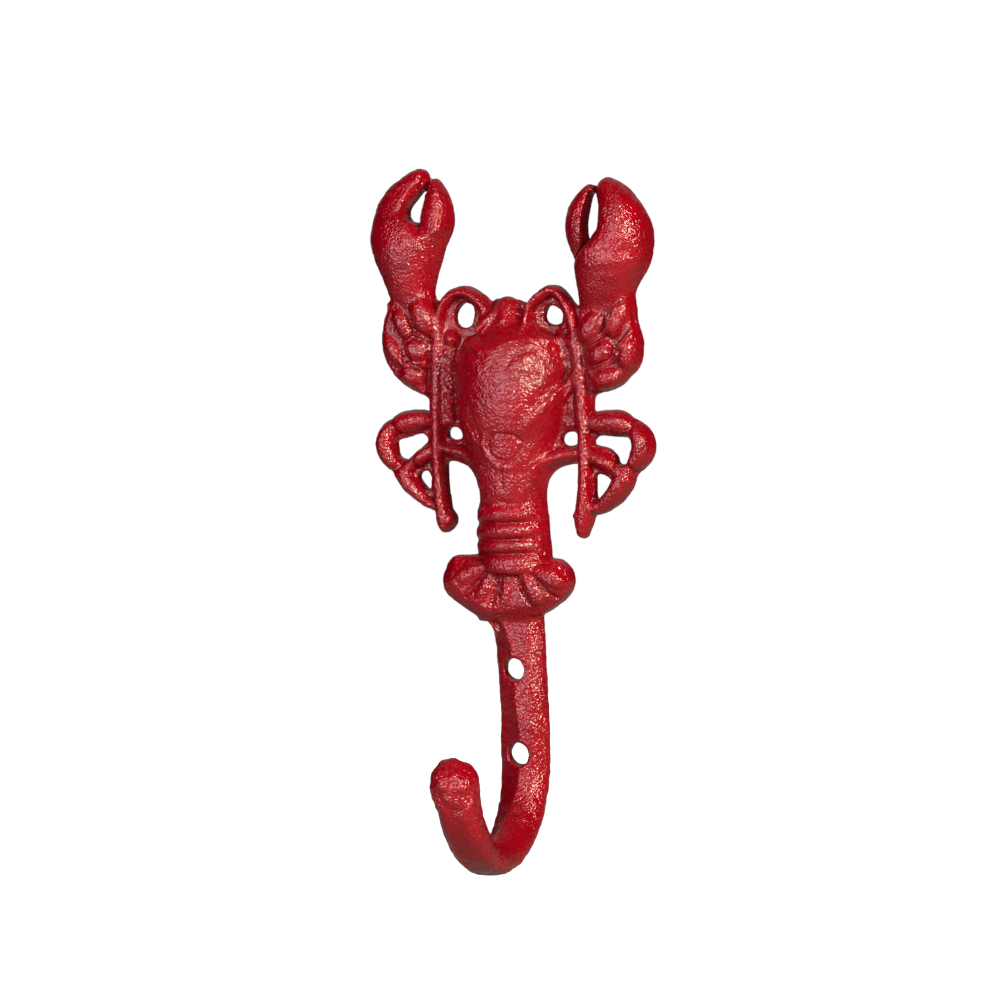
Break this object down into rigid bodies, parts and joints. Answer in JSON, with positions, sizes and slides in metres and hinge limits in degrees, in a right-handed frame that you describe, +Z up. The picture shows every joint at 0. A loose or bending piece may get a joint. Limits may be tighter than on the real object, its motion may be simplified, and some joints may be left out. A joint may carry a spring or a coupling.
{
  "type": "wall hook",
  "caption": "One-piece cast wall hook with a lobster in relief above a shank with screw holes and a J-shaped coat hook.",
  "frame": {"origin": "on the wall plane, midway between the two screw holes", "axes": "+Z up along the lobster's body, +Y into the wall, so the front of the hook faces -Y; +X to the right seen from the front"},
  "size_m": [0.0767, 0.0543, 0.1792],
  "materials": {
    "painted_iron": "deep red gloss paint over rough sand-cast iron"
  },
  "bodies": {
    "root": {"hook_casting": "painted_iron"}
  },
  "joints": []
}
